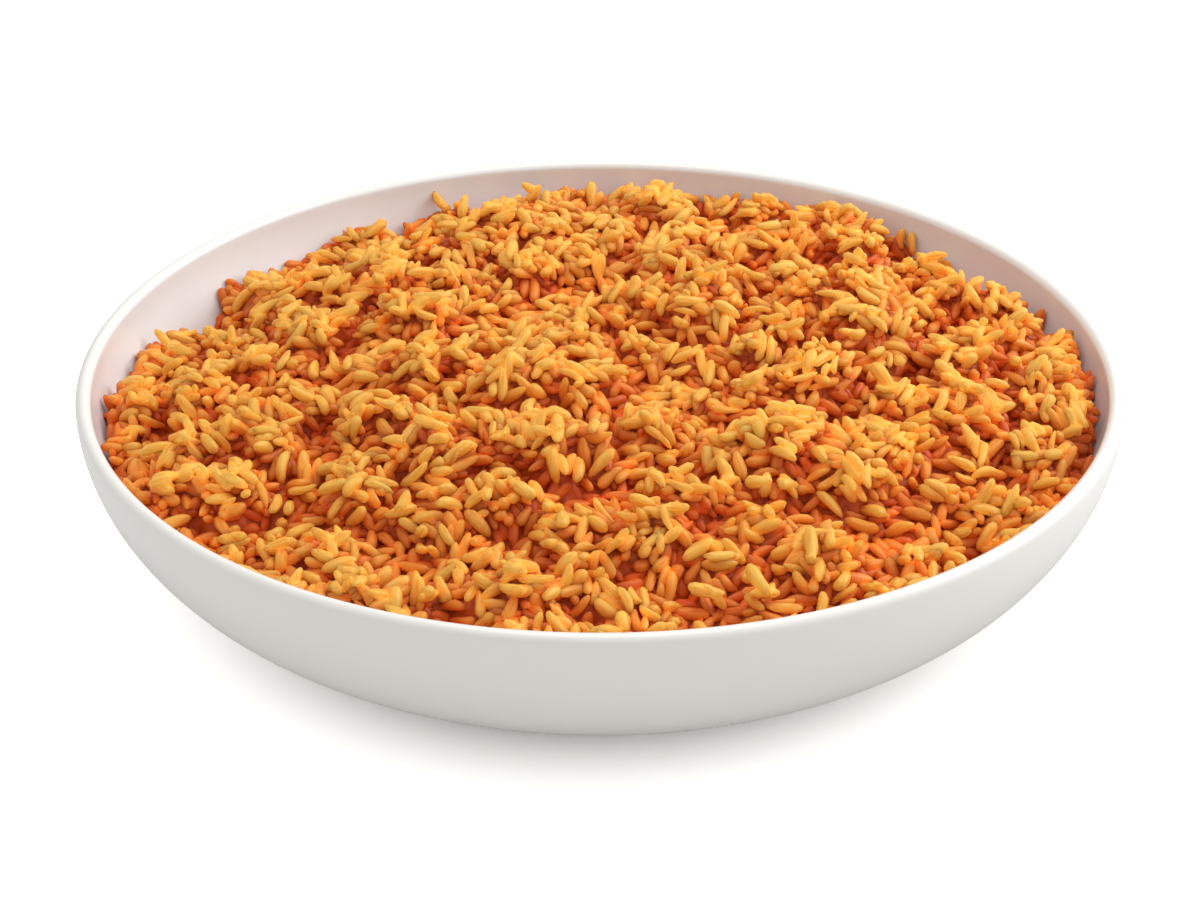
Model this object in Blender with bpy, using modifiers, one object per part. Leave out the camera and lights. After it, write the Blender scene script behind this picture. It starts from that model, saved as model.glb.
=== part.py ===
"""Jollof rice heaped in a wide, shallow white serving bowl.

Units are metres, +Z is up, and the origin is the centre of the foot, on the table.
"""

import math

import bmesh
import bpy
import numpy as np
from mathutils.geometry import delaunay_2d_cdt

# Bowl: driving sizes
RIM_RADIUS = 0.1525
HEIGHT = 0.062
FOOT_RADIUS = 0.083
WALL = 0.0045
FLOOR_HEIGHT = 0.0075
FOOT_HEIGHT = 0.0012
FOOT_RING_WIDTH = 0.007
RECESS = 0.0010
CURVE_POWER = 1.9
BOWL_SEGMENTS = 64
WALL_SPANS = 8
LIP_SPANS = 4

# Heap of rice: driving sizes
FIT_GAP = 0.0003
CROWN_HEIGHT = 0.0695
DOME_POWER = 2.6
# How far below the lip the rice meets the wall, every 30 degrees from +X round to +Y.
EDGE_DROP = (0.011, 0.010, 0.008, 0.009, 0.0135, 0.018, 0.014, 0.012, 0.009, 0.008, 0.009, 0.014)
# The relief dies out over this band at the wall.
EDGE_BAND = 0.010

# Clumps: rounded lumps of sticky rice that meet in wavering creases, with pits between grains
CLUMP_COUNT = 125
CLUMP_JITTER = 0.008
CLUMP_LIFT = (-0.0040, 0.0032)
CLUMP_CURVE = (0.0065, 0.0150)
CLUMP_STRETCH = (1.0, 1.5)
CLUMP_LEVEL = 0.0026
CLUMP_SEED = 11
WAVER = 0.0022
PIT_COUNT = 120
PIT_DEPTH = (0.0020, 0.0070)
PIT_WIDTH = (0.0020, 0.0036)

# Grains: each a ridge on the heap, with hollows round it
GRAIN_COUNT = 1100
GRAIN_RIDGE = (0.0046, 0.0062)
GRAIN_SPACE = 0.0026
GRAIN_RISE = (0.0004, 0.0026)
HOLLOW_COUNT = 2250
HOLLOW_SPACE = 0.0019
HOLLOW_DEPTH = (0.0004, 0.0016)
EDGE_MARGIN = 0.0030
GRAIN_SEED = 23

GOLDEN_ANGLE = math.pi * (3.0 - math.sqrt(5.0))
INNER_REACH = RIM_RADIUS - WALL


def clear_scene():
    for old in list(bpy.data.objects):
        bpy.data.objects.remove(old, do_unlink=True)


def make_material(name, colour, roughness, metallic=0.0):
    material = bpy.data.materials.new(name)
    material.use_nodes = True
    shader = material.node_tree.nodes["Principled BSDF"]
    shader.inputs["Base Color"].default_value = (*colour, 1.0)
    shader.inputs["Roughness"].default_value = roughness
    shader.inputs["Metallic"].default_value = metallic
    return material


def add_object(name, mesh, material, collection):
    obj = bpy.data.objects.new(name, mesh)
    obj.data.materials.append(material)
    collection.objects.link(obj)
    return obj


def wall_curve(start_radius, start_height, end_radius, end_height):
    """Points of a rounded wall: flat where it leaves the floor and upright at the lip."""
    points = []
    for step in range(WALL_SPANS + 1):
        angle = 0.5 * math.pi * step / WALL_SPANS
        outward = math.sin(angle) ** (2.0 / CURVE_POWER)
        upward = 1.0 - math.cos(angle) ** (2.0 / CURVE_POWER)
        radius = start_radius + (end_radius - start_radius) * outward
        height = start_height + (end_height - start_height) * upward
        points.append((radius, height))
    return points


LIP_RADIUS = 0.5 * WALL
LIP_CENTRE_HEIGHT = HEIGHT - LIP_RADIUS
INNER_WALL = wall_curve(FOOT_RADIUS, FLOOR_HEIGHT, INNER_REACH, LIP_CENTRE_HEIGHT)
OUTER_WALL = wall_curve(FOOT_RADIUS, FOOT_HEIGHT, RIM_RADIUS, LIP_CENTRE_HEIGHT)


def lip_curve():
    """Points between the inner and the outer wall, over the half-round lip."""
    points = []
    for step in range(1, LIP_SPANS):
        angle = math.pi * (1.0 - step / LIP_SPANS)
        radius = RIM_RADIUS - LIP_RADIUS + LIP_RADIUS * math.cos(angle)
        points.append((radius, LIP_CENTRE_HEIGHT + LIP_RADIUS * math.sin(angle)))
    return points


def build_bowl(material, collection):
    """The bowl, turned from one profile: inside floor, inside wall, lip, outside wall and foot ring."""
    foot_inner = FOOT_RADIUS - FOOT_RING_WIDTH
    foot = [(FOOT_RADIUS, 0.0), (foot_inner, 0.0), (foot_inner - RECESS, RECESS), (0.0, RECESS)]
    profile = [(0.0, FLOOR_HEIGHT), *INNER_WALL, *lip_curve(), *reversed(OUTER_WALL), *foot]
    mesh = bpy.data.meshes.new("bowl")
    points = [(radius, 0.0, height) for radius, height in profile]
    mesh.from_pydata(points, [(i, i + 1) for i in range(len(points) - 1)], [])
    bowl = add_object("bowl", mesh, material, collection)
    screw = bowl.modifiers.new("turn", "SCREW")
    screw.steps = BOWL_SEGMENTS
    screw.render_steps = BOWL_SEGMENTS
    screw.use_merge_vertices = True
    screw.merge_threshold = 0.00001
    screw.use_smooth_shade = True
    return bowl


def contact_edge(angle):
    """Radius and height at which the heap meets the wall, for an array of angles."""
    compass = np.radians(np.arange(len(EDGE_DROP)) * 360.0 / len(EDGE_DROP))
    height = HEIGHT - np.interp(angle, compass, EDGE_DROP, period=2.0 * math.pi)
    radii, heights = np.array(INNER_WALL).T
    return np.interp(height, heights + FIT_GAP, radii) - FIT_GAP, height


def clump_relief(x, y):
    """Clumps and pits: the highest of many long upside-down bowls on a spiral, less a few narrow hollows.

    The places are first shifted to and fro by sine waves, so that the creases between clumps waver.
    """
    random = np.random.RandomState(CLUMP_SEED)
    waved_x = x + WAVER * (np.sin(y / 0.0061 + 1.0) + 0.5 * np.sin(y / 0.0023 + x / 0.004))
    waved_y = y + WAVER * (np.sin(x / 0.0067 + 2.0) + 0.5 * np.sin(x / 0.0026 - y / 0.005))
    order = np.arange(CLUMP_COUNT) + 0.5
    reach = INNER_REACH * np.sqrt(order / CLUMP_COUNT)
    shift = random.uniform(-CLUMP_JITTER, CLUMP_JITTER, (2, CLUMP_COUNT))
    away_x = waved_x[:, None] - (reach * np.cos(order * GOLDEN_ANGLE) + shift[0])
    away_y = waved_y[:, None] - (reach * np.sin(order * GOLDEN_ANGLE) + shift[1])
    turn = random.uniform(0.0, math.pi, CLUMP_COUNT)
    stretch = random.uniform(*CLUMP_STRETCH, CLUMP_COUNT)
    along = (away_x * np.cos(turn) + away_y * np.sin(turn)) / stretch
    across = (away_y * np.cos(turn) - away_x * np.sin(turn)) * stretch
    lift = random.uniform(*CLUMP_LIFT, CLUMP_COUNT)
    curve = random.uniform(*CLUMP_CURVE, CLUMP_COUNT)
    clumps = (lift - (along**2 + across**2) / (2.0 * curve)).max(axis=1)
    pit_reach = INNER_REACH * np.sqrt(random.uniform(0.0, 1.0, PIT_COUNT))
    pit_turn = random.uniform(0.0, 2.0 * math.pi, PIT_COUNT)
    away = (x[:, None] - pit_reach * np.cos(pit_turn)) ** 2 + (y[:, None] - pit_reach * np.sin(pit_turn)) ** 2
    depth = random.uniform(*PIT_DEPTH, PIT_COUNT)
    width = random.uniform(*PIT_WIDTH, PIT_COUNT)
    pits = (depth * np.exp(-away / (2.0 * width**2))).max(axis=1)
    return CLUMP_LEVEL + np.maximum(clumps, -0.0075) - pits


def heap_surface(disc, lift):
    """Carries points of the unit disc onto the heap: a low dome with clumps and grains, out to the wall."""
    share = np.hypot(disc[:, 0], disc[:, 1])
    angle = np.arctan2(disc[:, 1], disc[:, 0])
    edge_radius, edge_height = contact_edge(angle)
    x = share * edge_radius * np.cos(angle)
    y = share * edge_radius * np.sin(angle)
    dome = CROWN_HEIGHT - (CROWN_HEIGHT - edge_height) * share**DOME_POWER
    inside = np.clip((1.0 - share) * INNER_REACH / EDGE_BAND, 0.0, 1.0)
    return np.stack([x, y, dome + inside * clump_relief(x, y) + lift], axis=1)


def scatter_ridges(random, reach):
    """Ends of the ridges, two for each grain, thrown at random and kept clear of those before."""
    ridges = []
    taken = np.zeros((0, 2))
    for _ in range(60000):
        half = 0.5 * random.uniform(*GRAIN_RIDGE)
        distance = (reach - half) * math.sqrt(random.uniform(0.0, 1.0))
        place, turn = random.uniform(0.0, 2.0 * math.pi, 2)
        centre = np.array([distance * math.cos(place), distance * math.sin(place)])
        along = np.array([half * math.cos(turn), half * math.sin(turn)])
        samples = centre + np.outer((-1.0, -0.5, 0.0, 0.5, 1.0), along)
        gaps = samples[:, None] - taken
        if len(taken) and (gaps**2).sum(axis=2).min() < GRAIN_SPACE**2:
            continue
        taken = np.concatenate([taken, samples])
        ridges.extend([samples[0], samples[-1]])
        if len(ridges) == 2 * GRAIN_COUNT:
            break
    return np.array(ridges), taken


def scatter_hollows(random, reach, taken):
    """Low points between the grains, clear of the ridges and of one another."""
    hollows = []
    for _ in range(60000):
        distance = reach * math.sqrt(random.uniform(0.0, 1.0))
        place = random.uniform(0.0, 2.0 * math.pi)
        point = np.array([distance * math.cos(place), distance * math.sin(place)])
        if ((point - taken) ** 2).sum(axis=1).min() < HOLLOW_SPACE**2:
            continue
        taken = np.concatenate([taken, [point]])
        hollows.append(point)
        if len(hollows) == HOLLOW_COUNT:
            break
    return np.array(hollows)


def triangulate_heap():
    """Top sheet of the heap: points and triangles, with the points on the wall first, in turn."""
    random = np.random.RandomState(GRAIN_SEED)
    reach = INNER_REACH - EDGE_MARGIN
    ridges, taken = scatter_ridges(random, reach)
    hollows = scatter_hollows(random, reach, taken)
    angles = np.arange(BOWL_SEGMENTS) * 2.0 * math.pi / BOWL_SEGMENTS
    edge = np.stack([np.cos(angles), np.sin(angles)], axis=1)
    flat = np.concatenate([edge, ridges / INNER_REACH, hollows / INNER_REACH])
    # The two ends of a grain rise by different amounts, so that many grains stand at a slant.
    rises = random.uniform(*GRAIN_RISE, len(ridges))
    depths = random.uniform(*HOLLOW_DEPTH, len(hollows))
    lift = np.concatenate([np.zeros(len(edge)), rises, -depths])
    loop = [(i, (i + 1) % len(edge)) for i in range(len(edge))]
    crests = [(i, i + 1) for i in range(len(edge), len(edge) + len(ridges), 2)]
    points, _, faces, sources, _, _ = delaunay_2d_cdt(flat.tolist(), loop + crests, [], 0, 1e-7)
    if len(points) != len(flat):
        raise ValueError("two ridges of the layout cross or touch")
    order = np.array([source[0] for source in sources])
    return heap_surface(flat, lift), [tuple(order[list(face)]) for face in faces]


def extrude_ring(work, edges, radius, height):
    """Extrudes a loop of edges and lays the new one on a circle of this radius and height."""
    made = bmesh.ops.extrude_edge_only(work, edges=edges)["geom"]
    for vertex in (item for item in made if isinstance(item, bmesh.types.BMVert)):
        angle = math.atan2(vertex.co.y, vertex.co.x)
        vertex.co = (radius * math.cos(angle), radius * math.sin(angle), height)
    return [item for item in made if isinstance(item, bmesh.types.BMEdge)]


def build_rice(material, collection):
    """The heap of rice: the sheet of grains on top, carried down the inside of the bowl to its floor."""
    points, faces = triangulate_heap()
    mesh = bpy.data.meshes.new("rice")
    mesh.from_pydata(points.tolist(), [], faces)
    work = bmesh.new()
    work.from_mesh(mesh)
    ring = [edge for edge in work.edges if edge.is_boundary]
    lowest = HEIGHT - max(EDGE_DROP)
    for radius, height in reversed([point for point in INNER_WALL if point[1] < lowest - 0.002]):
        made = extrude_ring(work, ring, radius - FIT_GAP, height + FIT_GAP)
        ring = [edge for edge in made if edge.is_boundary]
    bmesh.ops.holes_fill(work, edges=ring, sides=0)
    bmesh.ops.triangulate(work, faces=[face for face in work.faces if len(face.verts) > 4])
    bmesh.ops.recalc_face_normals(work, faces=work.faces)
    work.to_mesh(mesh)
    work.free()
    return add_object("rice", mesh, material, collection)


def main():
    clear_scene()
    collection = bpy.data.collections.new("jollof_rice")
    bpy.context.scene.collection.children.link(collection)
    glaze = make_material("white_glaze", (0.87, 0.86, 0.84), 0.18)
    cooked_rice = make_material("jollof_rice", (0.80, 0.33, 0.05), 0.42)
    build_bowl(glaze, collection)
    build_rice(cooked_rice, collection)


main()
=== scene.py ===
import math

import bpy
import numpy as np
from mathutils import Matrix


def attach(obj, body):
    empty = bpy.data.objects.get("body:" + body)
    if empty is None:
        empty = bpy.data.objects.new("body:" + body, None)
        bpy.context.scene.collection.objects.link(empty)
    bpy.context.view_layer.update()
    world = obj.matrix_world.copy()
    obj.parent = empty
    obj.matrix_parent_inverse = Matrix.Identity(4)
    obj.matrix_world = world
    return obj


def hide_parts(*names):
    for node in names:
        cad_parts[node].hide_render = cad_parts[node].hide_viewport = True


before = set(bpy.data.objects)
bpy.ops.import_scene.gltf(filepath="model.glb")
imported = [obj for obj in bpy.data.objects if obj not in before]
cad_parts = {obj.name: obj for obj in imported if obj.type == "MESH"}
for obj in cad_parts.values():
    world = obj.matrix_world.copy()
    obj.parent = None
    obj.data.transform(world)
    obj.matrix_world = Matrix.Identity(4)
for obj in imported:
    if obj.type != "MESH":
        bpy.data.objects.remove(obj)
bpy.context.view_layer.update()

# Serving bowl
# A wide, shallow bowl of white stoneware, thrown on a wheel and dipped in a clear glossy glaze.
# Its wall swings up from the foot in one curve to a full-round lip; the foot ring is left bare.
RIM_RADIUS = 0.1525
HEIGHT = 0.062
FOOT_RADIUS = 0.083
WALL = 0.0045
FLOOR_HEIGHT = 0.0075
FLOOR_SHARES = (0.0, 0.4, 0.8)
FOOT_HEIGHT = 0.0012
FOOT_RING_WIDTH = 0.007
FOOT_EDGE = 0.0004
RECESS = 0.0010
CURVE_POWER = 1.9
LIP_RADIUS = 0.5 * WALL
LIP_CENTRE_HEIGHT = HEIGHT - LIP_RADIUS
INNER_REACH = RIM_RADIUS - WALL
WALL_SPANS = 40
LIP_SPANS = 16
LIP_ROWS_INSIDE = 3
BOWL_COLUMNS = 240
GLAZE_SHADES = ((0.0, (0.868, 0.845, 0.795, 1.0)), (1.0, (0.880, 0.860, 0.815, 1.0)))
# Painted cooler white for inside the bowl, offsetting the orange light bounced from the rice.
INSIDE_COOL_TINT = (0.86, 0.91, 0.93, 1.0)
CLAY_SHADES = ((0.35, (0.52, 0.47, 0.40, 1.0)), (0.6, (0.70, 0.66, 0.59, 1.0)))


def wall_curve(start_radius, start_height, end_radius, end_height, spans):
    """Rounded wall: radius grows with a power of the sine, height with one minus that of the cosine."""
    angle = np.linspace(0.0, 0.5 * math.pi, spans + 1)
    outward = np.sin(angle) ** (2.0 / CURVE_POWER)
    upward = 1.0 - np.clip(np.cos(angle), 0.0, 1.0) ** (2.0 / CURVE_POWER)
    radius = start_radius + (end_radius - start_radius) * outward
    height = start_height + (end_height - start_height) * upward
    return np.stack([radius, height], axis=1)


def arc(centre_radius, centre_height, size, start, end, spans):
    """Part of a circle in the profile plane: centre plus size times cosine and sine of the angle."""
    angle = np.radians(np.linspace(start, end, spans + 1))
    return np.stack([centre_radius + size * np.cos(angle), centre_height + size * np.sin(angle)], axis=1)


def turned_mesh(name, profile, columns):
    """Profile carried round the axis: x = radius times cosine, y = radius times sine.

    The profile starts and ends on the axis.
    """
    turn = np.arange(columns) * 2.0 * math.pi / columns
    rings = profile[1:-1]
    x = rings[:, :1] * np.cos(turn)
    y = rings[:, :1] * np.sin(turn)
    z = np.repeat(rings[:, 1:], columns, axis=1)
    body = np.stack([x, y, z], axis=2).reshape(-1, 3)
    top = (0.0, 0.0, profile[0, 1])
    bottom = (0.0, 0.0, profile[-1, 1])
    points = np.concatenate([[top], body, [bottom]])
    return closed_rows(name, points, len(rings), columns)


def closed_rows(name, points, rows, columns):
    """Mesh of rows of points round an axis, in quads, closed by a fan at the first and the last point."""
    here = np.arange(rows * columns).reshape(rows, columns) + 1
    beside = np.roll(here, -1, axis=1)
    quads = np.stack([here[:-1], here[1:], beside[1:], beside[:-1]], axis=2).reshape(-1, 4)
    first = np.stack([np.zeros(columns, int), here[0], beside[0]], axis=1)
    final = np.stack([np.full(columns, len(points) - 1), beside[-1], here[-1]], axis=1)
    mesh = bpy.data.meshes.new(name)
    mesh.from_pydata(points.tolist(), [], quads.tolist() + first.tolist() + final.tolist())
    mesh.polygons.foreach_set("use_smooth", np.ones(len(mesh.polygons), dtype=bool))
    mesh.update()
    return mesh


def add_piece(name, mesh, material):
    """Links a finished mesh as an object at the origin, in the one material."""
    piece = bpy.data.objects.new(name, mesh)
    piece.data.materials.append(material)
    bpy.context.scene.collection.objects.link(piece)
    return piece


def node_maker(owner):
    """Returns a function that adds a shader node and fills its settings and sockets by name."""
    def make(kind, **values):
        node = owner.node_tree.nodes.new(kind)
        for key, value in values.items():
            if hasattr(node, key):
                setattr(node, key, value)
            else:
                node.inputs[key.replace("_", " ")].default_value = value
        return node
    return make


def new_finish(name):
    """Starts a material, and returns it with its links, its node maker and its main shader."""
    material = bpy.data.materials.new(name)
    material.use_nodes = True
    tree = material.node_tree
    return material, tree.links, node_maker(material), tree.nodes["Principled BSDF"]


def colour_bands(make, shades):
    """Colour ramp through the shades, each a place from nought to one and its colour."""
    ramp = make("ShaderNodeValToRGB")
    elements = ramp.color_ramp.elements
    elements[0].position = shades[0][0]
    elements[0].color = shades[0][1]
    elements[1].position = shades[-1][0]
    elements[1].color = shades[-1][1]
    for position, colour in shades[1:-1]:
        elements.new(position).color = colour
    return ramp


def glaze_material():
    """White glaze: near-white, glossy, with the slow ripple that a dipped glaze keeps."""
    material, links, make, shader = new_finish("white_glaze")
    shader.inputs["Coat Weight"].default_value = 0.35
    shader.inputs["Coat Roughness"].default_value = 0.06
    place = make("ShaderNodeTexCoord")
    tone = make("ShaderNodeTexNoise", Scale=9.0, Detail=1.0)
    links.new(place.outputs["Object"], tone.inputs["Vector"])
    colour = colour_bands(make, GLAZE_SHADES)
    links.new(tone.outputs["Fac"], colour.inputs["Fac"])
    # Painted cool tint inside the bowl, offsetting the orange light bounced from the rice.
    inside = make("ShaderNodeAttribute", attribute_name="inside")
    inside_tint = make("ShaderNodeMix", data_type="RGBA")
    inside_tint.inputs["B"].default_value = INSIDE_COOL_TINT
    links.new(inside.outputs["Fac"], inside_tint.inputs["Factor"])
    links.new(colour.outputs["Color"], inside_tint.inputs["A"])
    links.new(inside_tint.outputs["Result"], shader.inputs["Base Color"])
    gloss = make("ShaderNodeMapRange", From_Min=0.0, From_Max=1.0, To_Min=0.28, To_Max=0.34)
    links.new(tone.outputs["Fac"], gloss.inputs["Value"])
    links.new(gloss.outputs["Result"], shader.inputs["Roughness"])
    ripple = make("ShaderNodeTexNoise", Scale=38.0, Detail=2.0)
    links.new(place.outputs["Object"], ripple.inputs["Vector"])
    bump = make("ShaderNodeBump", Strength=0.03, Distance=0.002)
    links.new(ripple.outputs["Fac"], bump.inputs["Height"])
    links.new(bump.outputs["Normal"], shader.inputs["Normal"])
    return material


def bare_clay_material():
    """Unglazed stoneware of the foot ring: pale, dry and finely speckled."""
    material, links, make, shader = new_finish("bare_stoneware")
    shader.inputs["Roughness"].default_value = 0.85
    place = make("ShaderNodeTexCoord")
    grit = make("ShaderNodeTexNoise", Scale=900.0, Detail=3.0)
    links.new(place.outputs["Object"], grit.inputs["Vector"])
    colour = colour_bands(make, CLAY_SHADES)
    links.new(grit.outputs["Fac"], colour.inputs["Fac"])
    links.new(colour.outputs["Color"], shader.inputs["Base Color"])
    bump = make("ShaderNodeBump", Strength=0.4, Distance=0.0002)
    links.new(grit.outputs["Fac"], bump.inputs["Height"])
    links.new(bump.outputs["Normal"], shader.inputs["Normal"])
    return material


foot_inner = FOOT_RADIUS - FOOT_RING_WIDTH
floor_row = np.array([[share * FOOT_RADIUS, FLOOR_HEIGHT] for share in FLOOR_SHARES])
inner_wall = wall_curve(FOOT_RADIUS, FLOOR_HEIGHT, INNER_REACH, LIP_CENTRE_HEIGHT, WALL_SPANS)
lip = arc(RIM_RADIUS - LIP_RADIUS, LIP_CENTRE_HEIGHT, LIP_RADIUS, 180.0, 0.0, LIP_SPANS)
outer_wall = wall_curve(FOOT_RADIUS, FOOT_HEIGHT, RIM_RADIUS, LIP_CENTRE_HEIGHT, WALL_SPANS)
foot_ring = np.array([[FOOT_RADIUS, FOOT_EDGE], [FOOT_RADIUS - FOOT_EDGE, 0.0],
                      [foot_inner + FOOT_EDGE, 0.0], [foot_inner, FOOT_EDGE]])
recess = np.array([[foot_inner - RECESS, RECESS], [0.5 * foot_inner, RECESS], [0.0, RECESS]])
bowl_profile = np.concatenate([floor_row, inner_wall, lip[1:-1], outer_wall[::-1], foot_ring, recess])
bowl = add_piece("serving_bowl", turned_mesh("serving_bowl", bowl_profile, BOWL_COLUMNS), glaze_material())
bowl.data.materials.append(bare_clay_material())
# Inside and on the inner part of its lip, the bowl has a painted cooler tint against the rice's orange
# bounce.
inside_rows = len(floor_row) - 1 + len(inner_wall) + LIP_ROWS_INSIDE
inside_share = np.zeros(len(bowl.data.vertices))
inside_share[:1 + BOWL_COLUMNS * inside_rows] = 1.0
bowl.data.attributes.new("inside", "FLOAT", "POINT").data.foreach_set("value", inside_share)
# The faces that the bowl stands on, with the ring's two edges, are wiped free of glaze.
face_centres = np.empty(3 * len(bowl.data.polygons))
bowl.data.polygons.foreach_get("center", face_centres)
bare = face_centres.reshape(-1, 3)[:, 2] < FOOT_EDGE
bowl.data.polygons.foreach_set("material_index", bare.astype(int))
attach(bowl, "root")
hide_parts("bowl")

# Heap of rice
# Parboiled long rice, cooked soft in tomato and pepper sauce and spooned into the bowl: a dome of
# blunt grains about 8 mm long, which lie at all angles on one another and stick in clumps, with
# hollows between them. This section lays the grains of the top few layers and lets them settle.
FIT_GAP = 0.0003
CROWN_HEIGHT = 0.0695
DOME_POWER = 2.6
# How far below the lip the rice meets the wall, every 30 degrees from the right, round by the back.
EDGE_DROP = (0.011, 0.010, 0.008, 0.009, 0.0135, 0.018, 0.014, 0.012, 0.009, 0.008, 0.009, 0.014)
EDGE_BAND = 0.010
GOLDEN_ANGLE = math.pi * (3.0 - math.sqrt(5.0))
CLUMP_COUNT = 125
CLUMP_JITTER = 0.008
CLUMP_LIFT = (-0.0040, 0.0032)
CLUMP_CURVE = (0.0065, 0.0150)
CLUMP_STRETCH = (1.0, 1.5)
CLUMP_LEVEL = 0.0026
CLUMP_SEED = 11
CREASE_FLOOR = -0.0075
WAVER = 0.0022
WAVER_X_LENGTHS = (0.0061, 0.0023, 0.004)
WAVER_Y_LENGTHS = (0.0067, 0.0026, 0.005)
PIT_COUNT = 120
PIT_DEPTH = (0.0020, 0.0070)
PIT_WIDTH = (0.0020, 0.0036)

GRAIN_SEED = 23
GRAIN_HALF_LENGTH = (0.0030, 0.0053)
GRAIN_RADIUS = (0.00134, 0.00196)
GRAIN_LAYER = 0.0070
SPREAD_REACH = INNER_REACH - 0.005
WALL_REACH = INNER_REACH - 0.003
BED_COUNT = 3100
BED_LIFT = 0.0014
BED_SLANT = 0.15
BUNDLE_COUNT = 1900
BUNDLE_GRAINS = 3
BUNDLE_REACH = 0.0026
BUNDLE_LIFT = (0.0022, 0.0100)
BUNDLE_SLANT = (0.05, 0.80)
SLANT_POWER = 0.8
CREASE_FADE = 0.010
CREASE_CHANCE = 0.15
EDGE_CHANCE = 0.6
LIFT_SPREAD = 0.0008
HEADING_SPREAD = 0.30
PITCH_SPREAD = 0.18
GAP_COUNT = 260
GAP_REACH = (0.0026, 0.0054)
GAP_STRETCH = (1.0, 1.8)
GAP_DEPTH = (0.0034, 0.0062)
LOOSE_COUNT = 260
LOOSE_LEVEL = -0.0004
LOOSE_BAND = 0.0010
LOOSE_PITCH = (-0.2, 0.6)
LOOSE_LIFT = 0.7
TOP_LIMIT = 0.0773

SETTLE_STEPS = 60
PAIR_STEPS = 5
PAIR_REACH = 0.0044
BEADS = np.array([-1.0, -0.5, 0.0, 0.5, 1.0])
FALL = 0.00020
FALL_FADE = 1.4
CLOSENESS = 0.70
CROWDING = 0.55
SIDE_GIVE = 0.7
TURN_GIVE = 0.3
MAP_STEP = 0.001
MAP_REACH = 0.156

KIND_COUNT = 12
KIND_SEED = 5
KIND_RINGS = 6
KIND_SIDES = 8
KIND_CROWDING = 1.06
KIND_POWER = 0.56
KIND_BLUNTNESS = (2.0, 4.2)
KIND_LEAN = (-0.25, 0.25)
KIND_BEND = (0.0, 0.55)
KIND_BEND_LEVEL = 0.35
KIND_FLATNESS = (0.70, 0.95)
KIND_DENT = (0.03, 0.14)
KIND_DENT_TWIST = 2.6
KIND_UNEVENNESS = (-0.06, 0.06)


def fitted_radius(height):
    """Radius of the rice against the wall: the wall's inside at that height, less the gap of fit."""
    return np.interp(height, inner_wall[:, 1] + FIT_GAP, inner_wall[:, 0]) - FIT_GAP


def contact_edge(angle):
    """Radius and height at which the heap meets the wall, from the drops round the compass."""
    compass = np.radians(np.arange(len(EDGE_DROP)) * 360.0 / len(EDGE_DROP))
    height = HEIGHT - np.interp(angle, compass, EDGE_DROP, period=2.0 * math.pi)
    return fitted_radius(height), height


def clump_relief(x, y):
    """Clumps and pits: the highest of many long upside-down bowls on a spiral, less narrow hollows.

    The places are first shifted to and fro by sine waves, so that the creases between clumps waver.
    """
    random = np.random.RandomState(CLUMP_SEED)
    slow, quick, crossing = WAVER_X_LENGTHS
    waved_x = x + WAVER * (np.sin(y / slow + 1.0) + 0.5 * np.sin(y / quick + x / crossing))
    slow, quick, crossing = WAVER_Y_LENGTHS
    waved_y = y + WAVER * (np.sin(x / slow + 2.0) + 0.5 * np.sin(x / quick - y / crossing))
    order = np.arange(CLUMP_COUNT) + 0.5
    reach = INNER_REACH * np.sqrt(order / CLUMP_COUNT)
    shift = random.uniform(-CLUMP_JITTER, CLUMP_JITTER, (2, CLUMP_COUNT))
    away_x = waved_x[:, None] - (reach * np.cos(order * GOLDEN_ANGLE) + shift[0])
    away_y = waved_y[:, None] - (reach * np.sin(order * GOLDEN_ANGLE) + shift[1])
    turn = random.uniform(0.0, math.pi, CLUMP_COUNT)
    stretch = random.uniform(*CLUMP_STRETCH, CLUMP_COUNT)
    along = (away_x * np.cos(turn) + away_y * np.sin(turn)) / stretch
    across = (away_y * np.cos(turn) - away_x * np.sin(turn)) * stretch
    lift = random.uniform(*CLUMP_LIFT, CLUMP_COUNT)
    curve = random.uniform(*CLUMP_CURVE, CLUMP_COUNT)
    clumps = (lift - (along**2 + across**2) / (2.0 * curve)).max(axis=1)
    pit_reach = INNER_REACH * np.sqrt(random.uniform(0.0, 1.0, PIT_COUNT))
    pit_turn = random.uniform(0.0, 2.0 * math.pi, PIT_COUNT)
    pit_x = pit_reach * np.cos(pit_turn)
    pit_y = pit_reach * np.sin(pit_turn)
    away = (x[:, None] - pit_x) ** 2 + (y[:, None] - pit_y) ** 2
    depth = random.uniform(*PIT_DEPTH, PIT_COUNT)
    width = random.uniform(*PIT_WIDTH, PIT_COUNT)
    pits = (depth * np.exp(-away / (2.0 * width**2))).max(axis=1)
    return CLUMP_LEVEL + np.maximum(clumps, CREASE_FLOOR) - pits


def heap_height(x, y):
    """Height of the heap: crown less a power of the share of the way to the wall, plus the clumps."""
    angle = np.arctan2(y, x)
    edge_radius, edge_height = contact_edge(angle)
    share = np.minimum(np.hypot(x, y) / edge_radius, 1.0)
    dome = CROWN_HEIGHT - (CROWN_HEIGHT - edge_height) * share**DOME_POWER
    inside = np.clip((1.0 - share) * INNER_REACH / EDGE_BAND, 0.0, 1.0)
    return dome + inside * clump_relief(x, y)


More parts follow.
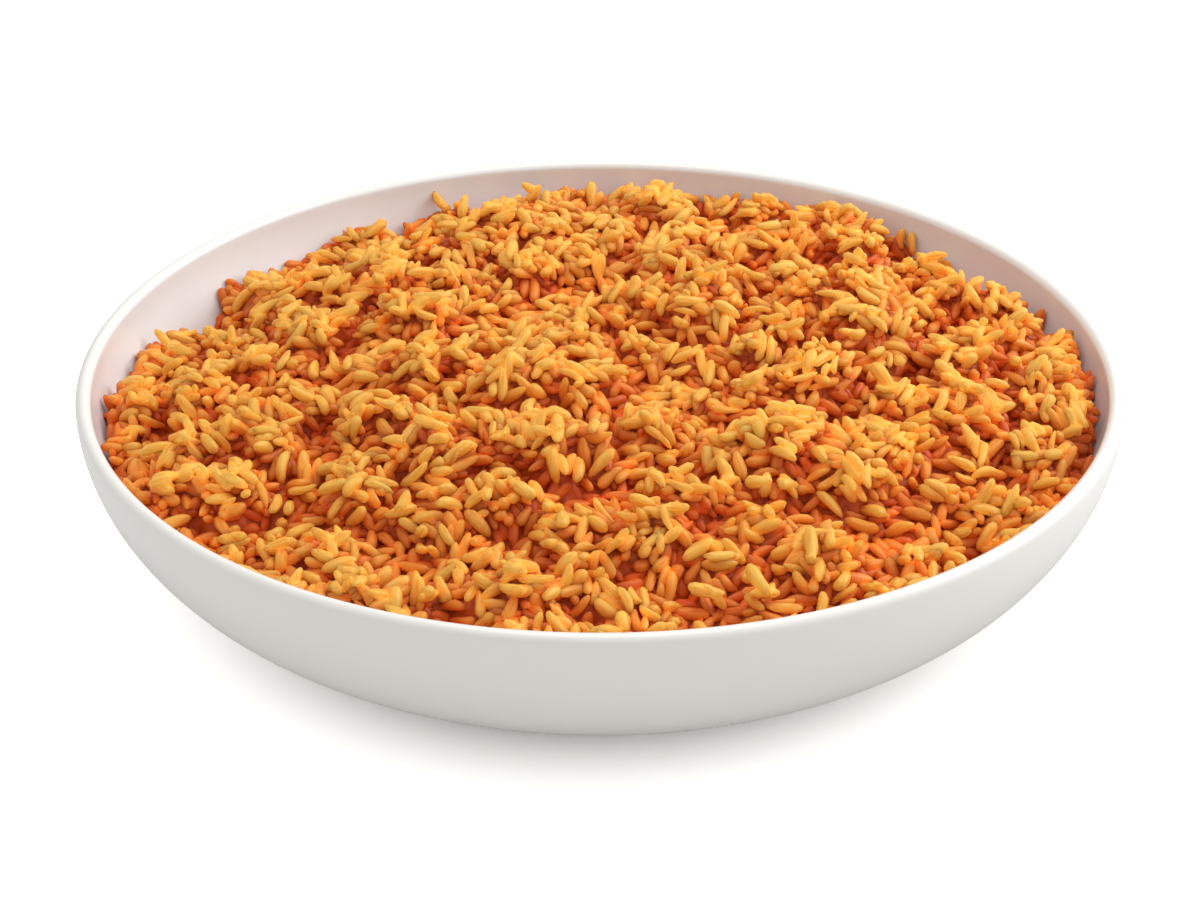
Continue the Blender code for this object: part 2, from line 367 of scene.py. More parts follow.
def close_pairs(points, reach):
    """Pairs of points nearer than reach, each pair once.

    The points are sorted into cubes of that size, and each cube is met with half its neighbours.
    """
    cell = np.floor(points / reach).astype(np.int64)
    cell -= cell.min(axis=0) - 1
    size = cell.max(axis=0) + 2
    key = (cell[:, 0] * size[1] + cell[:, 1]) * size[2] + cell[:, 2]
    order = np.argsort(key, kind="stable")
    sorted_key = key[order]
    steps = [(a, b, c) for a in (0, 1) for b in (-1, 0, 1) for c in (-1, 0, 1) if (a, b, c) >= (0, 0, 0)]
    firsts, seconds = [], []
    for a, b, c in steps:
        target = key + (a * size[1] + b) * size[2] + c
        low = np.searchsorted(sorted_key, target, "left")
        count = np.searchsorted(sorted_key, target, "right") - low
        first = np.repeat(np.arange(len(points)), count)
        start = np.repeat(low - np.cumsum(count) + count, count)
        second = order[start + np.arange(len(first))]
        near = ((points[first] - points[second]) ** 2).sum(axis=1) < reach**2
        if (a, b, c) == (0, 0, 0):
            near &= first < second
        firsts.append(first[near])
        seconds.append(second[near])
    return np.concatenate(firsts), np.concatenate(seconds)


def ground_map():
    """Height of the ground under the loose layers on a square lattice of points, and its two slopes."""
    side = np.arange(-MAP_REACH, MAP_REACH + 0.1 * MAP_STEP, MAP_STEP)
    x, y = np.meshgrid(side, side, indexing="ij")
    z = heap_height(x.ravel(), y.ravel()).reshape(x.shape) - GRAIN_LAYER
    slope_x, slope_y = np.gradient(z, MAP_STEP)
    return z, slope_x, slope_y


def look_up(grid, step, x, y):
    """Value of a lattice at places between its points, by weighing the four round each place."""
    across = np.clip((x + MAP_REACH) / step, 0.0, grid.shape[0] - 1.001)
    along = np.clip((y + MAP_REACH) / step, 0.0, grid.shape[1] - 1.001)
    i, j = across.astype(int), along.astype(int)
    u, v = across - i, along - j
    near = grid[i, j] * (1 - v) + grid[i, j + 1] * v
    far = grid[i + 1, j] * (1 - v) + grid[i + 1, j + 1] * v
    return near * (1 - u) + far * u


def settle(place, along, half, thick):
    """Lets the grains sink and push one another apart, each held as a stiff row of five beads.

    A bead that touches another, the ground or the wall is moved out along the line between them; a
    grain then takes the middle of its beads, and the direction that fits them best.
    """
    ground, slope_x, slope_y = ground_map()
    offset = BEADS * (half - thick)[:, None]
    spread = (offset**2).sum(axis=1)
    owner = np.repeat(np.arange(len(place)), len(BEADS))
    radius = np.repeat(thick, len(BEADS))
    for step in range(SETTLE_STEPS):
        place[:, 2] -= FALL * max(0.0, 1.0 - FALL_FADE * step / SETTLE_STEPS)
        beads = (place[:, None] + offset[:, :, None] * along[:, None]).reshape(-1, 3)
        if step % PAIR_STEPS == 0:
            first, second = close_pairs(beads, PAIR_REACH)
            apart = owner[first] != owner[second]
            first, second = first[apart], second[apart]
        gap = beads[first] - beads[second]
        distance = np.sqrt((gap**2).sum(axis=1)) + 1e-9
        overlap = np.maximum(CLOSENESS * (radius[first] + radius[second]) - distance, 0.0)
        push = gap * (0.5 * overlap / distance)[:, None]
        touching = (overlap > 0.0).astype(float)
        count = np.bincount(first, touching, len(beads)) + np.bincount(second, touching, len(beads))
        moved = np.stack([np.bincount(first, push[:, axis], len(beads))
                          - np.bincount(second, push[:, axis], len(beads)) for axis in range(3)], axis=1)
        moved /= np.maximum(1.0, CROWDING * count)[:, None]
        x, y, z = beads.T
        steep = np.sqrt(1.0 + look_up(slope_x, MAP_STEP, x, y) ** 2 + look_up(slope_y, MAP_STEP, x, y) ** 2)
        sunk = np.maximum(radius - (z - look_up(ground, MAP_STEP, x, y)) / steep, 0.0)
        moved[:, :2] *= SIDE_GIVE
        moved[:, 2] += sunk * steep
        out = np.hypot(x, y)
        past = np.maximum(out + radius - np.interp(z, inner_wall[:, 1], inner_wall[:, 0]), 0.0)
        moved[:, 0] -= past * x / np.maximum(out, 1e-6)
        moved[:, 1] -= past * y / np.maximum(out, 1e-6)
        moved = moved.reshape(len(place), len(BEADS), 3)
        place += moved.mean(axis=1)
        along = along * spread[:, None] + TURN_GIVE * (offset[:, :, None] * moved).sum(axis=1)
        along /= np.sqrt((along**2).sum(axis=1))[:, None]
    return place, along


def pointing(heading, pitch):
    """Direction of a grain: cosine and sine of the heading, both times the pitch's cosine, and its sine."""
    return np.stack([np.cos(heading) * np.cos(pitch), np.sin(heading) * np.cos(pitch), np.sin(pitch)], axis=1)


def grain_kinds():
    """Twelve spindles, on a grid of places along and angles round.

    The thickness is a superellipse of the place along, a little fuller towards one end, pressed
    flat and bent along an arc, with two soft dents that wind round it.
    """
    random = np.random.RandomState(KIND_SEED)
    ends = np.linspace(-1.0, 1.0, KIND_RINGS + 2)[1:-1]
    place = np.sin(0.5 * math.pi * ends * KIND_CROWDING)
    angle = np.arange(KIND_SIDES) * 2.0 * math.pi / KIND_SIDES
    kinds = []
    for _ in range(KIND_COUNT):
        blunt = random.uniform(*KIND_BLUNTNESS)
        lean = random.uniform(*KIND_LEAN)
        bend = random.uniform(*KIND_BEND)
        flat = random.uniform(*KIND_FLATNESS)
        dent = random.uniform(*KIND_DENT)
        dent_turn = random.uniform(0.0, 2.0 * math.pi)
        wide = (1.0 - np.abs(place) ** blunt) ** KIND_POWER * (1.0 + lean * place)
        uneven = 1.0 + dent * np.sin(2.0 * angle[None, :] + dent_turn + KIND_DENT_TWIST * place[:, None])
        uneven = uneven + random.uniform(*KIND_UNEVENNESS, (KIND_RINGS, KIND_SIDES))
        side = wide[:, None] * np.cos(angle) * uneven
        rise = wide[:, None] * np.sin(angle) * uneven * flat
        body = np.stack([np.repeat(place[:, None], KIND_SIDES, axis=1), side, rise], axis=2).reshape(-1, 3)
        shape = np.concatenate([[(-1.0, 0.0, 0.0)], body, [(1.0, 0.0, 0.0)]])
        shape[:, 2] -= bend * (shape[:, 0] ** 2 - KIND_BEND_LEVEL)
        kinds.append(shape)
    return np.array(kinds)


def grain_points(place, along, half, thick, roll, shape):
    """Points of every grain, and how far up each faces.

    Each point is the grain's place, plus the shape's length along the grain and its width and
    thickness across it, rolled about the grain.
    """
    upright = np.where(np.abs(along[:, 2:]) < 0.9, np.array([0.0, 0.0, 1.0]), np.array([1.0, 0.0, 0.0]))
    side = np.cross(upright, along)
    side /= np.sqrt((side**2).sum(axis=1))[:, None]
    over = np.cross(along, side)
    turned_side = side * np.cos(roll)[:, None] + over * np.sin(roll)[:, None]
    turned_over = over * np.cos(roll)[:, None] - side * np.sin(roll)[:, None]
    points = (place[:, None]
              + shape[:, :, :1] * (half[:, None] * along)[:, None]
              + shape[:, :, 1:2] * (thick[:, None] * turned_side)[:, None]
              + shape[:, :, 2:] * (thick[:, None] * turned_over)[:, None])
    facing = (shape[:, :, :1] ** 3 * along[:, None] + shape[:, :, 1:2] * turned_side[:, None]
              + shape[:, :, 2:] * turned_over[:, None])
    return points, facing[:, :, 2] / np.sqrt((facing**2).sum(axis=2) + 1e-9)


# A bed of single grains lies nearly flat, on a spiral that spaces them evenly. On it, grains stick in
# bundles of a few that lie nearly side by side, with fewer bundles in the creases between clumps.
random = np.random.RandomState(GRAIN_SEED)
drawn_angle = random.uniform(0.0, 2.0 * math.pi, 2 * BUNDLE_COUNT)
drawn_radius = SPREAD_REACH * np.sqrt(random.uniform(0.0, 1.0, 2 * BUNDLE_COUNT))
drawn_relief = clump_relief(drawn_radius * np.cos(drawn_angle), drawn_radius * np.sin(drawn_angle))
chance = np.clip(0.5 + drawn_relief / CREASE_FADE, CREASE_CHANCE, 1.0)
chance = np.where(drawn_radius > INNER_REACH - EDGE_BAND, EDGE_CHANCE, chance)
drawn = np.argsort(random.uniform(0.0, 1.0, 2 * BUNDLE_COUNT) / chance)[:BUNDLE_COUNT]
spiral = np.arange(BED_COUNT) + 0.5
spread_angle = np.concatenate([spiral * GOLDEN_ANGLE, drawn_angle[drawn]])
spread_radius = np.concatenate([SPREAD_REACH * np.sqrt(spiral / BED_COUNT), drawn_radius[drawn]])

# Each grain belongs to an owner, its bed place or its bundle, and follows that owner's lie.
owner_count = BED_COUNT + BUNDLE_COUNT
owners = np.concatenate([np.arange(BED_COUNT), BED_COUNT + np.repeat(np.arange(BUNDLE_COUNT), BUNDLE_GRAINS)])
grain_count = len(owners)
half = random.uniform(*GRAIN_HALF_LENGTH, grain_count)
thick = random.uniform(*GRAIN_RADIUS, grain_count)
in_bed = np.arange(owner_count) < BED_COUNT
owner_above = np.where(in_bed, BED_LIFT, random.uniform(*BUNDLE_LIFT, owner_count))
owner_heading = random.uniform(0.0, 2.0 * math.pi, owner_count)
slant = random.choice([-1.0, 1.0], owner_count) * random.uniform(*BUNDLE_SLANT, owner_count) ** SLANT_POWER
owner_pitch = np.arcsin(np.where(in_bed, BED_SLANT * slant, slant))
shift = np.where(in_bed, 0.0, BUNDLE_REACH)[owners] * random.normal(0.0, 1.0, (2, grain_count))
grain_x = (spread_radius * np.cos(spread_angle))[owners] + shift[0]
grain_y = (spread_radius * np.sin(spread_angle))[owners] + shift[1]
inward = np.minimum(1.0, WALL_REACH / np.hypot(grain_x, grain_y))
grain_x, grain_y = grain_x * inward, grain_y * inward
above = owner_above[owners] + random.normal(0.0, LIFT_SPREAD, grain_count)
grain_z = heap_height(grain_x, grain_y) - GRAIN_LAYER + above
heading = owner_heading[owners] + random.normal(0.0, HEADING_SPREAD, grain_count)
pitch = owner_pitch[owners] + random.normal(0.0, PITCH_SPREAD, grain_count)
laid = np.stack([grain_x, grain_y, grain_z], axis=1)
place, direction = settle(laid, pointing(heading, pitch), half, thick)
level = place[:, 2] - heap_height(place[:, 0], place[:, 1])

# Gaps where a clump has broken away: the bundles are gone down to a depth, inside a long ring round
# each place.
gap_distance = (INNER_REACH - EDGE_BAND) * np.sqrt(random.uniform(0.0, 1.0, GAP_COUNT))
gap_turn = random.uniform(0.0, 2.0 * math.pi, GAP_COUNT)
gap_heading = random.uniform(0.0, math.pi, GAP_COUNT)
gap_long = random.uniform(*GAP_REACH, GAP_COUNT) * random.uniform(*GAP_STRETCH, GAP_COUNT)
gap_wide = random.uniform(*GAP_REACH, GAP_COUNT)
away_x = place[:, :1] - gap_distance * np.cos(gap_turn)
away_y = place[:, 1:2] - gap_distance * np.sin(gap_turn)
away_along = (away_x * np.cos(gap_heading) + away_y * np.sin(gap_heading)) / gap_long
away_across = (away_y * np.cos(gap_heading) - away_x * np.sin(gap_heading)) / gap_wide
gap_floor = -random.uniform(*GAP_DEPTH, GAP_COUNT)
in_gap = (away_along**2 + away_across**2 < 1.0) & (level[:, None] > gap_floor)
kept = ~in_gap.any(axis=1) | (owners < BED_COUNT)
place, direction, half, thick, level = place[kept], direction[kept], half[kept], thick[kept], level[kept]

# Loose grains stuck on top of the others at a slant, each with its lower end among them.
on_top = np.nonzero(np.abs(level - LOOSE_LEVEL) < LOOSE_BAND)[0]
host = random.choice(on_top, LOOSE_COUNT, replace=False)
loose_heading = random.uniform(0.0, 2.0 * math.pi, LOOSE_COUNT)
loose_direction = pointing(loose_heading, random.uniform(*LOOSE_PITCH, LOOSE_COUNT))
loose_half = random.uniform(*GRAIN_HALF_LENGTH, LOOSE_COUNT)
loose_thick = random.uniform(*GRAIN_RADIUS, LOOSE_COUNT)
loose_place = place[host] + 0.5 * loose_half[:, None] * loose_direction
loose_place[:, 2] += LOOSE_LIFT * loose_thick
place = np.concatenate([place, loose_place])
direction = np.concatenate([direction, loose_direction])
half = np.concatenate([half, loose_half])
thick = np.concatenate([thick, loose_thick])

# No grain reaches more than a little above the crown.
top = place[:, 2] + half * np.abs(direction[:, 2]) + thick * np.sqrt(1.0 - direction[:, 2] ** 2)
place[:, 2] -= np.maximum(top - TOP_LIMIT, 0.0)
total = len(place)
roll = random.uniform(0.0, 2.0 * math.pi, total)
shape = grain_kinds()[random.randint(0, KIND_COUNT, total)]
points, up = grain_points(place, direction, half, thick, roll, shape)

# Core of the heap
# The rice below the loose layers, packed down to the bowl's floor and soaked in the sauce. It shows
# only in the gaps, darkened to red by painted shade. Its top follows the lowest of the settled grains.
CORE_COLUMNS = 480
CORE_RINGS = 180
CORE_SIDE_ROWS = 13
CORE_EDGE_SINK = 0.8 * GRAIN_LAYER
CORE_DEPTH = 0.0020
CORE_CELLS = 3
CORE_BLUR = 2
CORE_RELIEF = 0.0009
CORE_WAVES = (0.00078, 0.00066, 0.00091)
CORE_WAVE_BEND = 0.0016
CORE_BEND_WAVES = (0.0031, 0.0027)
CORE_OPENNESS = 0.40
CORE_TONE = 0.4
CORE_GRAIN = 0.0016
TOP_STEP = 0.0006
SKY_WAYS = 8
SKY_REACHES = (0.0014, 0.0026, 0.0042, 0.0066, 0.0100)
UNDERSIDE_LOSS = 0.3
BROAD_CELLS = 14
SINK_START = 0.0004
SINK_DEPTH = 0.0048
SINK_LOSS = 0.85
# Colour of the starch from the dullest grain to the palest, and the painted shade over it, down to dark red.
GRAIN_SHADES = ((0.0, (0.82, 0.43, 0.080, 1.0)), (0.35, (0.81, 0.48, 0.085, 1.0)),
                (0.7, (0.80, 0.49, 0.088, 1.0)), (1.0, (0.79, 0.510, 0.103, 1.0)))
PAINTED_SHADE_TINTS = ((0.0, (0.78, 0.20, 0.14, 1.0)), (0.15, (0.95, 0.57, 0.43, 1.0)),
               (0.40, (0.99, 0.90, 0.81, 1.0)), (0.9, (1.0, 1.0, 1.0, 1.0)))
STAIN = (0.98, 0.70, 0.48, 1.0)
SCATTER_RADIUS = (1.0, 0.8, 0.6)
SCATTER_DEPTH = 0.0048


def blurred(grid, cells):
    """Mean of a lattice over a square of cells round each point: a running mean across, then along."""
    for axis in (0, 1):
        grid = sum(np.roll(grid, k, axis) for k in range(-cells, cells + 1)) / (2 * cells + 1)
    return grid


def top_lattice(points):
    """Highest point in each cell of a lattice and in the cells round it.

    From the wall outwards, it is the lip's height.
    """
    cells = np.floor((points[:, :2] + MAP_REACH) / TOP_STEP).astype(int)
    count = int(2.0 * MAP_REACH / TOP_STEP) + 1
    tops = np.zeros((count, count))
    np.maximum.at(tops, (cells[:, 0], cells[:, 1]), points[:, 2])
    for axis in (0, 1):
        tops = np.maximum(tops, np.maximum(np.roll(tops, 1, axis), np.roll(tops, -1, axis)))
    across = np.arange(count) * TOP_STEP - MAP_REACH
    return np.where(np.hypot(across[:, None], across[None]) > INNER_REACH, HEIGHT, tops)


def open_share(points, up, tops):
    """Share of the sky that reaches each point: one less the sine of the skyline, over eight ways round.

    The skyline comes from a lattice of the highest points; a point that faces down, or is below the
    mean of the tops round it, gets less.
    """
    cells = np.floor((points[:, :2] + MAP_REACH) / TOP_STEP).astype(int)
    share = np.zeros(len(points))
    for way in np.arange(SKY_WAYS) * 2.0 * math.pi / SKY_WAYS:
        skyline = np.zeros(len(points))
        for reach in SKY_REACHES:
            steps = np.round(np.array([math.cos(way), math.sin(way)]) * reach / TOP_STEP).astype(int)
            beside = np.clip(cells + steps, 0, len(tops) - 1)
            rise = tops[beside[:, 0], beside[:, 1]] - points[:, 2]
            skyline = np.maximum(skyline, rise / np.hypot(rise, reach))
        share += (1.0 - skyline) / SKY_WAYS
    covered = blurred((tops > 0.0).astype(float), BROAD_CELLS)
    broad = blurred(tops, BROAD_CELLS) / np.maximum(covered, 1e-6)
    below = broad[cells[:, 0], cells[:, 1]] + SINK_START - points[:, 2]
    sunken = np.clip(below / SINK_DEPTH, 0.0, 1.0)
    return share * (1.0 - UNDERSIDE_LOSS * (0.5 - 0.5 * up)) * (1.0 - SINK_LOSS * sunken)


def packed_relief(x, y):
    """Relief of grains packed in the core: three crossing sine waves, bent by two slower ones."""
    bent_x = x + CORE_WAVE_BEND * np.sin(y / CORE_BEND_WAVES[0])
    bent_y = y + CORE_WAVE_BEND * np.sin(x / CORE_BEND_WAVES[1] + 1.3)
    straight = np.sin(bent_x / CORE_WAVES[0])
    rising = np.sin((0.5 * bent_x + 0.87 * bent_y) / CORE_WAVES[1] + 0.7)
    falling = np.sin((0.6 * bent_x - 0.8 * bent_y) / CORE_WAVES[2] + 2.1)
    return CORE_RELIEF * (straight + rising + falling) / 1.6


def core_mesh(tops):
    """Rings that shrink towards the centre, below the lowest of the tops round them; then wall and floor.

    Height of the top: the lowest top near by, blurred, less a depth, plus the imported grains' relief.
    """
    turn = np.arange(CORE_COLUMNS) * 2.0 * math.pi / CORE_COLUMNS
    share = np.linspace(0.0, 1.0, CORE_RINGS + 1)[1:]
    edge_radius, edge_height = contact_edge(turn)
    sunk = edge_height - CORE_EDGE_SINK
    x = share[:, None] * fitted_radius(sunk) * np.cos(turn)
    y = share[:, None] * fitted_radius(sunk) * np.sin(turn)
    lowest = np.where(tops > 0.0, tops, HEIGHT)
    for axis in (0, 1):
        lowest = np.min([np.roll(lowest, k, axis) for k in range(-CORE_CELLS, CORE_CELLS + 1)], axis=0)
    ground = heap_height(x.ravel(), y.ravel()).reshape(x.shape) - GRAIN_LAYER
    under = look_up(blurred(lowest, CORE_BLUR), TOP_STEP, x, y) - CORE_DEPTH
    z = np.maximum(under, ground) + packed_relief(x, y)
    z[-1] = sunk
    top = np.stack([x, y, z], axis=2).reshape(-1, 3)
    down = np.linspace(1.0, 0.0, CORE_SIDE_ROWS + 1)[1:]
    low_height = FLOOR_HEIGHT + FIT_GAP
    side_height = low_height + (sunk - low_height) * down[:, None]
    side_radius = fitted_radius(side_height)
    side = np.stack([side_radius * np.cos(turn), side_radius * np.sin(turn), side_height], axis=2)
    points = np.concatenate([[(0.0, 0.0, z[0].mean())], top, side.reshape(-1, 3), [(0.0, 0.0, low_height)]])
    return closed_rows("rice_core", points, len(share) + len(down), CORE_COLUMNS)


def cooked_grain_material():
    """Cooked grain: translucent starch stained orange, each grain its own shade, and painted shade in
    hollows.
    """
    material, links, make, shader = new_finish("jollof_grains")
    shader.subsurface_method = "BURLEY"
    shader.inputs["Subsurface Weight"].default_value = 1.0
    shader.inputs["Subsurface Radius"].default_value = SCATTER_RADIUS
    shader.inputs["Subsurface Scale"].default_value = SCATTER_DEPTH
    shader.inputs["Specular IOR Level"].default_value = 0.25
    tone = make("ShaderNodeAttribute", attribute_name="tone")
    shade = colour_bands(make, GRAIN_SHADES)
    links.new(tone.outputs["Fac"], shade.inputs["Fac"])
    own = make("ShaderNodeAttribute", attribute_name="own_place")
    mottle = make("ShaderNodeTexNoise", Scale=2.4, Detail=3.0)
    links.new(own.outputs["Vector"], mottle.inputs["Vector"])
    stain = make("ShaderNodeMix", data_type="RGBA", blend_type="MULTIPLY")
    stain.inputs["B"].default_value = STAIN
    amount = make("ShaderNodeMapRange", From_Min=0.42, From_Max=0.68, To_Min=0.0, To_Max=1.0)
    links.new(mottle.outputs["Fac"], amount.inputs["Value"])
    links.new(amount.outputs["Result"], stain.inputs["Factor"])
    links.new(shade.outputs["Color"], stain.inputs["A"])
    # Painted shade: colour multiplied towards dark red where a point sees little sky, faces down or sinks.
    openness = make("ShaderNodeAttribute", attribute_name="openness")
    painted_shade = colour_bands(make, PAINTED_SHADE_TINTS)
    links.new(openness.outputs["Fac"], painted_shade.inputs["Fac"])
    shaded_colour = make("ShaderNodeMix", data_type="RGBA", blend_type="MULTIPLY")
    shaded_colour.inputs["Factor"].default_value = 1.0
    links.new(stain.outputs["Result"], shaded_colour.inputs["A"])
    links.new(painted_shade.outputs["Color"], shaded_colour.inputs["B"])
    links.new(shaded_colour.outputs["Result"], shader.inputs["Base Color"])
    gloss = make("ShaderNodeMapRange", From_Min=0.35, From_Max=0.7, To_Min=0.36, To_Max=0.56)
    links.new(mottle.outputs["Fac"], gloss.inputs["Value"])
    links.new(gloss.outputs["Result"], shader.inputs["Roughness"])
    bump = make("ShaderNodeBump", Strength=0.5, Distance=0.0003)
    links.new(mottle.outputs["Fac"], bump.inputs["Height"])
    links.new(bump.outputs["Normal"], shader.inputs["Normal"])
    return material


def set_finish_values(mesh, tone, openness, own_place):
    """Gives each point its shade, its share of open sky and its place for the mottle."""
    mesh.attributes.new("tone", "FLOAT", "POINT").data.foreach_set("value", tone)
    mesh.attributes.new("openness", "FLOAT", "POINT").data.foreach_set("value", openness)
    mesh.attributes.new("own_place", "FLOAT_VECTOR", "POINT").data.foreach_set("vector", own_place)


grain_finish = cooked_grain_material()
tops = top_lattice(points.reshape(-1, 3))
core_surface = core_mesh(tops)
core_points = np.empty(3 * len(core_surface.vertices))
core_surface.vertices.foreach_get("co", core_points)
core_points = core_points.reshape(-1, 3)
# Painted shade on the core: its share of open sky, scaled down, darkens its colour to red.
core_openness = CORE_OPENNESS * open_share(core_points, np.ones(len(core_points)), tops)
core_tone = np.full(len(core_points), CORE_TONE)
set_finish_values(core_surface, core_tone, core_openness, (core_points / CORE_GRAIN).ravel())
core = add_piece("rice_core", core_surface, grain_finish)
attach(core, "root")
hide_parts("rice")

# Layers of grains
# The settled grains themselves, soft starch with the sauce cooked into it, pressed on one another and
# on the core. They are sorted by their depth below the heap's surface into five pieces of like size.
LAYERS = ("grains_low", "grains_lower", "grains_middle", "grains_upper", "grains_top")
TONE_MIDDLE = 0.60
TONE_WAVE = 1.3
TONE_RISE = 90.0
TONE_LEVEL = -0.0015
TONE_SPREAD = 0.11
WAVE_COUNT = 24
WAVE_LENGTH = (0.0010, 0.0036)
OWN_OPENNESS = 0.35
GRAIN_OPENNESS_RANK = 60
MOTTLE_STRETCH = np.array([0.35, 1.0, 1.0])
MOTTLE_ROLL_JUMP = 7.0
MOTTLE_TONE_JUMP = 3.0


def grain_faces():
    """Quads and end triangles of one grain, as triangles, on the rows of points of grain_kinds."""
    here = np.arange(KIND_RINGS * KIND_SIDES).reshape(KIND_RINGS, KIND_SIDES) + 1
    beside = np.roll(here, -1, axis=1)
    one = np.stack([here[:-1], beside[:-1], beside[1:]], axis=2).reshape(-1, 3)
    two = np.stack([here[:-1], beside[1:], here[1:]], axis=2).reshape(-1, 3)
    first = np.stack([np.zeros(KIND_SIDES, int), beside[0], here[0]], axis=1)
    final = np.stack([np.full(KIND_SIDES, KIND_RINGS * KIND_SIDES + 1), here[-1], beside[-1]], axis=1)
    return np.concatenate([one, two, first, final])


def grains_mesh(name, points, roll, shape, tone, openness):
    """All grains of a layer in one mesh: the faces of one grain, repeated on every grain's points.

    A point's place for the mottle is its place on the grain, short along it, plus a jump that
    differs from grain to grain.
    """
    each = shape.shape[1]
    faces = grain_faces()[None] + (np.arange(len(points)) * each)[:, None, None]
    corners = faces.ravel()
    mesh = bpy.data.meshes.new(name)
    mesh.vertices.add(points.shape[0] * each)
    mesh.vertices.foreach_set("co", points.ravel())
    mesh.loops.add(len(corners))
    mesh.loops.foreach_set("vertex_index", corners)
    mesh.polygons.add(len(corners) // 3)
    mesh.polygons.foreach_set("loop_start", np.arange(0, len(corners), 3))
    mesh.update(calc_edges=True)
    mesh.polygons.foreach_set("use_smooth", np.ones(len(mesh.polygons), dtype=bool))
    jump = MOTTLE_ROLL_JUMP * roll + MOTTLE_TONE_JUMP * tone
    own_place = shape * MOTTLE_STRETCH + jump[:, None, None]
    set_finish_values(mesh, np.repeat(tone, each), openness.ravel(), own_place.ravel())
    mesh.validate()
    return mesh


# Shade: a slow change from clump to clump, paler near the surface, and a little from grain to grain.
wave_turn = random.uniform(0.0, 2.0 * math.pi, WAVE_COUNT)
wave_length = random.uniform(*WAVE_LENGTH, WAVE_COUNT)
wave_start = random.uniform(0.0, 2.0 * math.pi, WAVE_COUNT)
wave_place = place[:, :1] * np.cos(wave_turn) + place[:, 1:2] * np.sin(wave_turn)
waves = np.sin(wave_place / wave_length + wave_start).mean(axis=1)
level = place[:, 2] - heap_height(place[:, 0], place[:, 1])
# Paler the higher a grain lies: partly sauce pooled lower down, partly painted shade.
tone = TONE_MIDDLE + TONE_WAVE * waves + TONE_RISE * (level - TONE_LEVEL)
tone = np.clip(tone + random.normal(0.0, TONE_SPREAD, total), 0.0, 1.0)
# The painted shade is mostly one value for all the points of a grain, and a little point by point.
openness = open_share(points.reshape(-1, 3), up.ravel(), tops).reshape(up.shape)
whole = np.percentile(openness, GRAIN_OPENNESS_RANK, axis=1)[:, None]
openness = OWN_OPENNESS * openness + (1.0 - OWN_OPENNESS) * whole
for name, chosen in zip(LAYERS, np.array_split(np.argsort(level), len(LAYERS))):
    layer = grains_mesh(name, points[chosen], roll[chosen], shape[chosen], tone[chosen], openness[chosen])
    grains = add_piece(name, layer, grain_finish)
    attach(grains, "root")
    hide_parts("rice")

# Setting
# A plain white table under soft studio light: a lamp overhead, a larger one high at the right, a
# broad pale surround, and the camera at the height and distance that the lip's outline gives.
TABLE_REACH = 6.0
TABLE_SEEN = (2.07, 2.07, 2.07, 1.0)
TABLE_BOUNCE = (0.92, 0.92, 0.92, 1.0)
SURROUND_LOW = 0.40
SURROUND_HIGH = 0.75
SURROUND_TOP = 0.85
SURROUND_SIDES = 0.32
SURROUND_SLOPE = 0.12
ELEVATION = math.radians(28.62)
CAMERA_DISTANCE = 0.85
AIM_HEIGHT = 0.0319
FOCAL_LENGTH = 85.3

# The table shows a lighter white to the camera than it gives back to the bowl.
table_mesh = bpy.data.meshes.new("table")
table_corners = [(-TABLE_REACH, -TABLE_REACH, 0), (TABLE_REACH, -TABLE_REACH, 0),
                 (TABLE_REACH, TABLE_REACH, 0), (-TABLE_REACH, TABLE_REACH, 0)]
table_mesh.from_pydata(table_corners, [], [(0, 1, 2, 3)])
table_finish, table_links, make, spare_shader = new_finish("white_table")
table_finish.node_tree.nodes.remove(spare_shader)
lit_white = make("ShaderNodeBsdfDiffuse", Color=TABLE_SEEN)
pale_bounce = make("ShaderNodeBsdfDiffuse", Color=TABLE_BOUNCE)
straight = make("ShaderNodeLightPath")
either = make("ShaderNodeMixShader")
table_links.new(straight.outputs["Is Camera Ray"], either.inputs[0])
table_links.new(pale_bounce.outputs["BSDF"], either.inputs[1])
table_links.new(lit_white.outputs["BSDF"], either.inputs[2])
table_output = table_finish.node_tree.nodes["Material Output"]
table_links.new(either.outputs["Shader"], table_output.inputs["Surface"])
table = add_piece("table", table_mesh, table_finish)

# Strength of the surround: it rises with the height Z, plus X times the sum of SURROUND_SLOPE and
# SURROUND_SIDES times X, so both sides are brighter and the right one most. The camera sees white.
world = bpy.data.worlds.new("studio")
world.use_nodes = True
world_links = world.node_tree.links
make = node_maker(world)
surround = world.node_tree.nodes["Background"]
surround.inputs["Color"].default_value = (1.0, 1.0, 1.0, 1.0)
towards = make("ShaderNodeTexCoord")
split = make("ShaderNodeSeparateXYZ")
rise = make("ShaderNodeMapRange", interpolation_type="SMOOTHSTEP", From_Min=0.0, From_Max=SURROUND_TOP,
            To_Min=SURROUND_LOW, To_Max=SURROUND_HIGH)
slope = make("ShaderNodeMath", operation="MULTIPLY_ADD")
slope.inputs[1].default_value = SURROUND_SIDES
slope.inputs[2].default_value = SURROUND_SLOPE
sides = make("ShaderNodeMath", operation="MULTIPLY_ADD")
seen = make("ShaderNodeLightPath")
bright = make("ShaderNodeMath", operation="MAXIMUM")
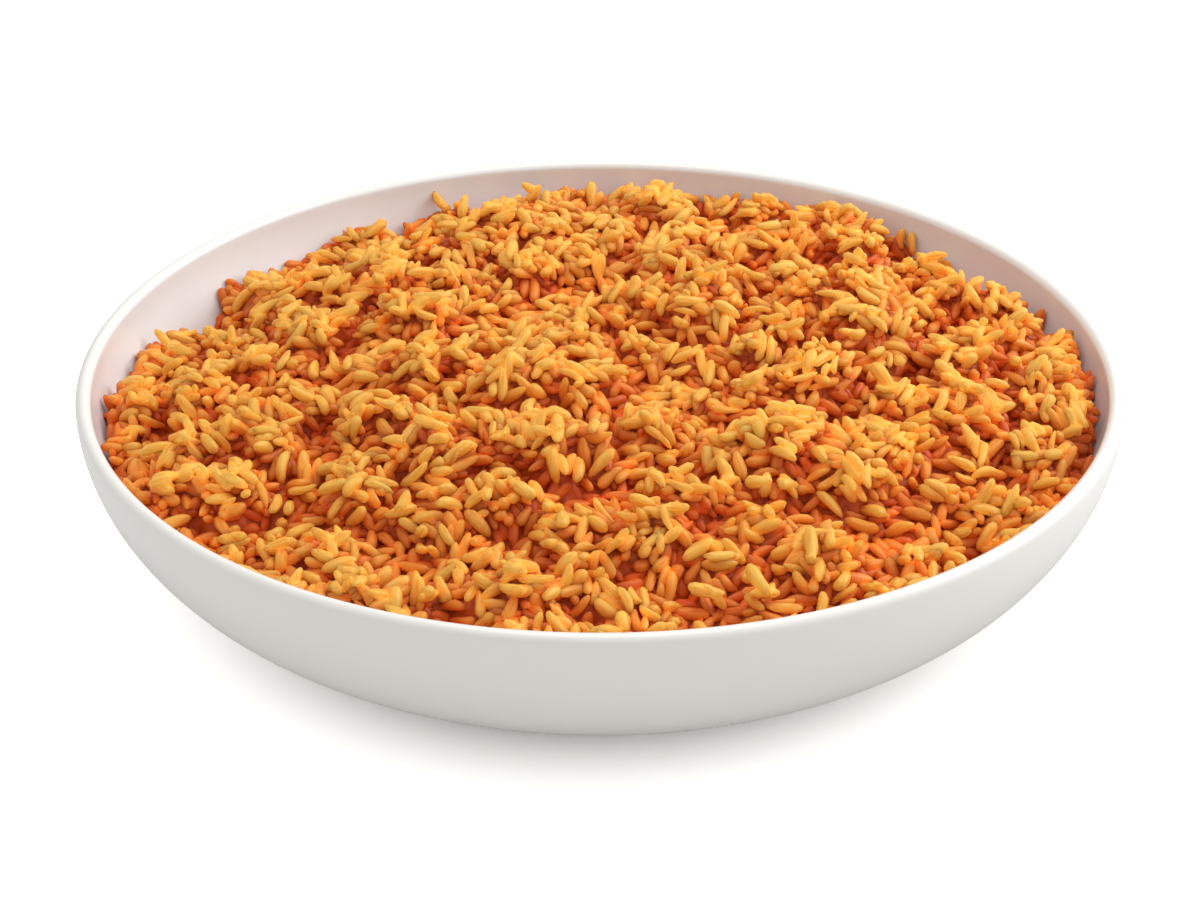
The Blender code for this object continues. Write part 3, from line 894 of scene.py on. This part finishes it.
world_links.new(towards.outputs["Generated"], split.inputs["Vector"])
world_links.new(split.outputs["Z"], rise.inputs["Value"])
world_links.new(split.outputs["X"], slope.inputs[0])
world_links.new(split.outputs["X"], sides.inputs[0])
world_links.new(slope.outputs["Value"], sides.inputs[1])
world_links.new(rise.outputs["Result"], sides.inputs[2])
world_links.new(sides.outputs["Value"], bright.inputs[0])
world_links.new(seen.outputs["Is Camera Ray"], bright.inputs[1])
world_links.new(bright.outputs["Value"], surround.inputs["Strength"])
bpy.context.scene.world = world


def add_lamp(name, place, size, power, colour):
    """Round area lamp at a place, turned to face the bowl."""
    lamp = bpy.data.lights.new(name, "AREA")
    lamp.shape = "DISK"
    lamp.size = size
    lamp.energy = power
    lamp.color = colour
    holder = bpy.data.objects.new(name, lamp)
    holder.location = place
    x, y, z = place
    holder.rotation_euler = (math.atan2(math.hypot(x, y), z), 0.0, math.atan2(x, -y))
    bpy.context.scene.collection.objects.link(holder)
    return holder


add_lamp("overhead_lamp", (0.05, 0.15, 1.05), 0.6, 2.1, (1.0, 0.99, 0.97))
key_lamp = add_lamp("key_lamp", (0.80, 0.28, 0.62), 0.80, 6.3, (0.95, 0.98, 1.0))
# Light linking keeps the key lamp off the table, so that the bowl's shadow stays close to its foot.
shaded_things = bpy.data.collections.new("shaded_from_key_lamp")
shaded_things.objects.link(table)
shaded_things.collection_objects[0].light_linking.link_state = "EXCLUDE"
key_lamp.light_linking.receiver_collection = shaded_things

camera_lens = bpy.data.cameras.new("camera")
camera_lens.sensor_width = 36.0
camera_lens.lens = FOCAL_LENGTH
camera_lens.clip_start = 0.01
camera = bpy.data.objects.new("camera", camera_lens)
camera.location = (0.0, -CAMERA_DISTANCE * math.cos(ELEVATION),
                   AIM_HEIGHT + CAMERA_DISTANCE * math.sin(ELEVATION))
camera.rotation_euler = (0.5 * math.pi - ELEVATION, 0.0, 0.0)
bpy.context.scene.collection.objects.link(camera)
bpy.context.scene.camera = camera
bpy.context.scene.view_settings.view_transform = "Standard"
